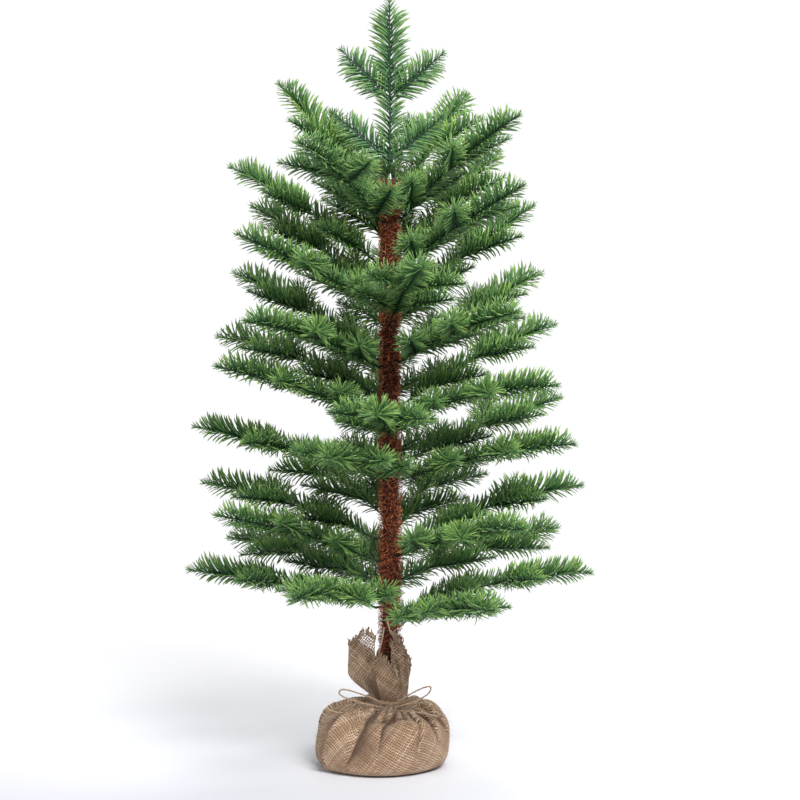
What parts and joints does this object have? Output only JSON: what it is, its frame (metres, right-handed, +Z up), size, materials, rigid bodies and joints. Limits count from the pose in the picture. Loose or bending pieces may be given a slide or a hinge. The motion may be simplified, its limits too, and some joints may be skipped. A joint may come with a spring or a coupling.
{
  "type": "artificial tabletop tree",
  "caption": "Small artificial conifer: moulded needle sprays on bendable wire stems round a bristle-wrapped pole, in a burlap-wrapped base tied with twine.",
  "frame": {"origin": "on the trunk's axis, where the burlap base rests on the table", "axes": "+Z up along the trunk, +X to the right in the front view, -Y towards the viewer, where the bow is"},
  "size_m": [0.4737, 0.464, 0.8893],
  "materials": {
    "needles": "moulded polyethylene, satin",
    "trunk_bristle": "brown bristle garland",
    "wire_binding": "taped wire and thread",
    "pole_steel": "plain tube",
    "cement": "cast, rough",
    "tub_plastic": "moulded",
    "burlap": "plain weave jute, frayed edges",
    "jute_twine": "two-ply jute"
  },
  "bodies": {
    "trunk_and_base": {"trunk_pole": "pole_steel", "trunk_bristle_wrap": "trunk_bristle", "tier_1_wire_binding": "wire_binding", "tier_2_wire_binding": "wire_binding", "tier_3_wire_binding": "wire_binding", "tier_4_wire_binding": "wire_binding", "tier_5_wire_binding": "wire_binding", "tier_6_wire_binding": "wire_binding", "tier_7_wire_binding": "wire_binding", "tier_8_wire_binding": "wire_binding", "ballast_tub": "tub_plastic", "cement_ballast": "cement", "burlap_bag": "burlap", "twine_winding": "jute_twine", "twine_loop_left": "jute_twine", "twine_loop_right": "jute_twine", "twine_tail_left": "jute_twine", "twine_tail_right": "jute_twine"},
    "branch_1_a": {"branch_1_a": "needles"},
    "branch_1_b": {"branch_1_b": "needles"},
    "branch_1_c": {"branch_1_c": "needles"},
    "branch_1_d": {"branch_1_d": "needles"},
    "branch_1_e": {"branch_1_e": "needles"},
    "branch_1_f": {"branch_1_f": "needles"},
    "branch_1_g": {"branch_1_g": "needles"},
    "branch_2_a": {"branch_2_a": "needles"},
    "branch_2_b": {"branch_2_b": "needles"},
    "branch_2_c": {"branch_2_c": "needles"},
    "branch_2_d": {"branch_2_d": "needles"},
    "branch_2_e": {"branch_2_e": "needles"},
    "branch_2_f": {"branch_2_f": "needles"},
    "branch_3_a": {"branch_3_a": "needles"},
    "branch_3_b": {"branch_3_b": "needles"},
    "branch_3_c": {"branch_3_c": "needles"},
    "branch_3_d": {"branch_3_d": "needles"},
    "branch_3_e": {"branch_3_e": "needles"},
    "branch_4_a": {"branch_4_a": "needles"},
    "branch_4_b": {"branch_4_b": "needles"},
    "branch_4_c": {"branch_4_c": "needles"},
    "branch_4_d": {"branch_4_d": "needles"},
    "branch_4_e": {"branch_4_e": "needles"},
    "branch_4_f": {"branch_4_f": "needles"},
    "branch_5_a": {"branch_5_a": "needles"},
    "branch_5_b": {"branch_5_b": "needles"},
    "branch_5_c": {"branch_5_c": "needles"},
    "branch_5_d": {"branch_5_d": "needles"},
    "branch_5_e": {"branch_5_e": "needles"},
    "branch_6_a": {"branch_6_a": "needles"},
    "branch_6_b": {"branch_6_b": "needles"},
    "branch_6_c": {"branch_6_c": "needles"},
    "branch_6_d": {"branch_6_d": "needles"},
    "branch_7_a": {"branch_7_a": "needles"},
    "branch_7_b": {"branch_7_b": "needles"},
    "branch_7_c": {"branch_7_c": "needles"},
    "branch_7_d": {"branch_7_d": "needles"},
    "branch_8_a": {"branch_8_a": "needles"},
    "branch_8_b": {"branch_8_b": "needles"},
    "branch_8_c": {"branch_8_c": "needles"},
    "branch_8_d": {"branch_8_d": "needles"},
    "leader_spray": {"leader_spray": "needles"}
  },
  "joints": [
    {"name": "branch_1_a_bend", "type": "hinge", "parent": "trunk_and_base", "child": "branch_1_a", "pos_m": [0.0179, -0.00188, 0.186], "axis": [-0.1045, -0.9945, 0], "range_deg": [-8, 8]},
    {"name": "branch_1_b_bend", "type": "hinge", "parent": "trunk_and_base", "child": "branch_1_b", "pos_m": [0.01559, 0.009, 0.218], "axis": [0.5, -0.866, 0], "range_deg": [-8, 8]},
    {"name": "branch_1_c_bend", "type": "hinge", "parent": "trunk_and_base", "child": "branch_1_c", "pos_m": [-0.00188, 0.0179, 0.186], "axis": [0.9945, 0.1045, 0], "range_deg": [-8, 8]},
    {"name": "branch_1_d_bend", "type": "hinge", "parent": "trunk_and_base", "child": "branch_1_d", "pos_m": [-0.01492, 0.01006, 0.212], "axis": [0.5592, 0.829, 0], "range_deg": [-8, 8]},
    {"name": "branch_1_e_bend", "type": "hinge", "parent": "trunk_and_base", "child": "branch_1_e", "pos_m": [-0.01796, -0.00126, 0.186], "axis": [-0.0698, 0.9976, 0], "range_deg": [-8, 8]},
    {"name": "branch_1_f_bend", "type": "hinge", "parent": "trunk_and_base", "child": "branch_1_f", "pos_m": [-0.00789, -0.01618, 0.196], "axis": [-0.8988, 0.4384, 0], "range_deg": [-8, 8]},
    {"name": "branch_1_g_bend", "type": "hinge", "parent": "trunk_and_base", "child": "branch_1_g", "pos_m": [0.00873, -0.01574, 0.172], "axis": [-0.8746, -0.4848, 0], "range_deg": [-8, 8]},
    {"name": "branch_2_a_bend", "type": "hinge", "parent": "trunk_and_base", "child": "branch_2_a", "pos_m": [0.01783, 0.0025, 0.262], "axis": [0.1392, -0.9903, 0], "range_deg": [-8, 8]},
    {"name": "branch_2_b_bend", "type": "hinge", "parent": "trunk_and_base", "child": "branch_2_b", "pos_m": [0.00616, 0.01691, 0.272], "axis": [0.9397, -0.342, 0], "range_deg": [-8, 8]},
    {"name": "branch_2_c_bend", "type": "hinge", "parent": "trunk_and_base", "child": "branch_2_c", "pos_m": [-0.00954, 0.01527, 0.292], "axis": [0.848, 0.5299, 0], "range_deg": [-8, 8]},
    {"name": "branch_2_d_bend", "type": "hinge", "parent": "trunk_and_base", "child": "branch_2_d", "pos_m": [-0.01747, 0.00436, 0.266], "axis": [0.2419, 0.9703, 0], "range_deg": [-8, 8]},
    {"name": "branch_2_e_bend", "type": "hinge", "parent": "trunk_and_base", "child": "branch_2_e", "pos_m": [-0.01589, -0.00845, 0.242], "axis": [-0.4695, 0.8829, 0], "range_deg": [-8, 8]},
    {"name": "branch_2_f_bend", "type": "hinge", "parent": "trunk_and_base", "child": "branch_2_f", "pos_m": [0.01204, -0.01338, 0.25], "axis": [-0.7431, -0.6691, 0], "range_deg": [-8, 8]},
    {"name": "branch_3_a_bend", "type": "hinge", "parent": "trunk_and_base", "child": "branch_3_a", "pos_m": [0.01669, -0.00674, 0.338], "axis": [-0.3746, -0.9272, 0], "range_deg": [-8, 8]},
    {"name": "branch_3_b_bend", "type": "hinge", "parent": "trunk_and_base", "child": "branch_3_b", "pos_m": [0.01589, 0.00845, 0.354], "axis": [0.4695, -0.8829, 0], "range_deg": [-8, 8]},
    {"name": "branch_3_c_bend", "type": "hinge", "parent": "trunk_and_base", "child": "branch_3_c", "pos_m": [-0.00126, 0.01796, 0.338], "axis": [0.9976, 0.0698, 0], "range_deg": [-8, 8]},
    {"name": "branch_3_d_bend", "type": "hinge", "parent": "trunk_and_base", "child": "branch_3_d", "pos_m": [-0.01796, -0.00126, 0.338], "axis": [-0.0698, 0.9976, 0], "range_deg": [-8, 8]},
    {"name": "branch_3_e_bend", "type": "hinge", "parent": "trunk_and_base", "child": "branch_3_e", "pos_m": [-0.00556, -0.01712, 0.338], "axis": [-0.9511, 0.309, 0], "range_deg": [-8, 8]},
    {"name": "branch_4_a_bend", "type": "hinge", "parent": "trunk_and_base", "child": "branch_4_a", "pos_m": [0.01492, -0.01006, 0.41], "axis": [-0.5592, -0.829, 0], "range_deg": [-8, 8]},
    {"name": "branch_4_b_bend", "type": "hinge", "parent": "trunk_and_base", "child": "branch_4_b", "pos_m": [0.01644, 0.00732, 0.424], "axis": [0.4067, -0.9135, 0], "range_deg": [-8, 8]},
    {"name": "branch_4_c_bend", "type": "hinge", "parent": "trunk_and_base", "child": "branch_4_c", "pos_m": [-0.0025, 0.01783, 0.41], "axis": [0.9903, 0.1392, 0], "range_deg": [-8, 8]},
    {"name": "branch_4_d_bend", "type": "hinge", "parent": "trunk_and_base", "child": "branch_4_d", "pos_m": [-0.01669, 0.00674, 0.434], "axis": [0.3746, 0.9272, 0], "range_deg": [-8, 8]},
    {"name": "branch_4_e_bend", "type": "hinge", "parent": "trunk_and_base", "child": "branch_4_e", "pos_m": [-0.01618, -0.00789, 0.41], "axis": [-0.4384, 0.8988, 0], "range_deg": [-8, 8]},
    {"name": "branch_4_f_bend", "type": "hinge", "parent": "trunk_and_base", "child": "branch_4_f", "pos_m": [-0.00126, -0.01796, 0.39], "axis": [-0.9976, 0.0698, 0], "range_deg": [-8, 8]},
    {"name": "branch_5_a_bend", "type": "hinge", "parent": "trunk_and_base", "child": "branch_5_a", "pos_m": [0.01559, 0.009, 0.475], "axis": [0.5, -0.866, 0], "range_deg": [-8, 8]},
    {"name": "branch_5_b_bend", "type": "hinge", "parent": "trunk_and_base", "child": "branch_5_b", "pos_m": [-0.00063, 0.01799, 0.497], "axis": [0.9994, 0.0349, 0], "range_deg": [-8, 8]},
    {"name": "branch_5_c_bend", "type": "hinge", "parent": "trunk_and_base", "child": "branch_5_c", "pos_m": [-0.01644, 0.00732, 0.475], "axis": [0.4067, 0.9135, 0], "range_deg": [-8, 8]},
    {"name": "branch_5_d_bend", "type": "hinge", "parent": "trunk_and_base", "child": "branch_5_d", "pos_m": [-0.01338, -0.01204, 0.469], "axis": [-0.6691, 0.7431, 0], "range_deg": [-8, 8]},
    {"name": "branch_5_e_bend", "type": "hinge", "parent": "trunk_and_base", "child": "branch_5_e", "pos_m": [0.01204, -0.01338, 0.475], "axis": [-0.7431, -0.6691, 0], "range_deg": [-8, 8]},
    {"name": "branch_6_a_bend", "type": "hinge", "parent": "trunk_and_base", "child": "branch_6_a", "pos_m": [0.01618, 0.00789, 0.535], "axis": [0.4384, -0.8988, 0], "range_deg": [-8, 8]},
    {"name": "branch_6_b_bend", "type": "hinge", "parent": "trunk_and_base", "child": "branch_6_b", "pos_m": [-0.01527, 0.00954, 0.547], "axis": [0.5299, 0.848, 0], "range_deg": [-8, 8]},
    {"name": "branch_6_c_bend", "type": "hinge", "parent": "trunk_and_base", "child": "branch_6_c", "pos_m": [-0.01527, -0.00954, 0.535], "axis": [-0.5299, 0.848, 0], "range_deg": [-8, 8]},
    {"name": "branch_6_d_bend", "type": "hinge", "parent": "trunk_and_base", "child": "branch_6_d", "pos_m": [0.00313, -0.01773, 0.527], "axis": [-0.9848, -0.1736, 0], "range_deg": [-8, 8]},
    {"name": "branch_7_a_bend", "type": "hinge", "parent": "trunk_and_base", "child": "branch_7_a", "pos_m": [0.01338, 0.01204, 0.59], "axis": [0.6691, -0.7431, 0], "range_deg": [-8, 8]},
    {"name": "branch_7_b_bend", "type": "hinge", "parent": "trunk_and_base", "child": "branch_7_b", "pos_m": [-0.00616, 0.01691, 0.608], "axis": [0.9397, 0.342, 0], "range_deg": [-8, 8]},
    {"name": "branch_7_c_bend", "type": "hinge", "parent": "trunk_and_base", "child": "branch_7_c", "pos_m": [-0.0179, 0.00188, 0.59], "axis": [0.1045, 0.9945, 0], "range_deg": [-8, 8]},
    {"name": "branch_7_d_bend", "type": "hinge", "parent": "trunk_and_base", "child": "branch_7_d", "pos_m": [0.01418, -0.01108, 0.584], "axis": [-0.6157, -0.788, 0], "range_deg": [-8, 8]},
    {"name": "branch_8_a_bend", "type": "hinge", "parent": "trunk_and_base", "child": "branch_8_a", "pos_m": [0.00954, 0.01527, 0.652], "axis": [0.848, -0.5299, 0], "range_deg": [-8, 8]},
    {"name": "branch_8_b_bend", "type": "hinge", "parent": "trunk_and_base", "child": "branch_8_b", "pos_m": [-0.01669, 0.00674, 0.64], "axis": [0.3746, 0.9272, 0], "range_deg": [-8, 8]},
    {"name": "branch_8_c_bend", "type": "hinge", "parent": "trunk_and_base", "child": "branch_8_c", "pos_m": [-0.00954, -0.01527, 0.636], "axis": [-0.848, 0.5299, 0], "range_deg": [-8, 8]},
    {"name": "branch_8_d_bend", "type": "hinge", "parent": "trunk_and_base", "child": "branch_8_d", "pos_m": [0.01492, -0.01006, 0.64], "axis": [-0.5592, -0.829, 0], "range_deg": [-8, 8]},
    {"name": "leader_spray_bend", "type": "hinge", "parent": "trunk_and_base", "child": "leader_spray", "pos_m": [0, 0, 0.6918], "axis": [0, 1, 0], "range_deg": [-12, 12]}
  ]
}
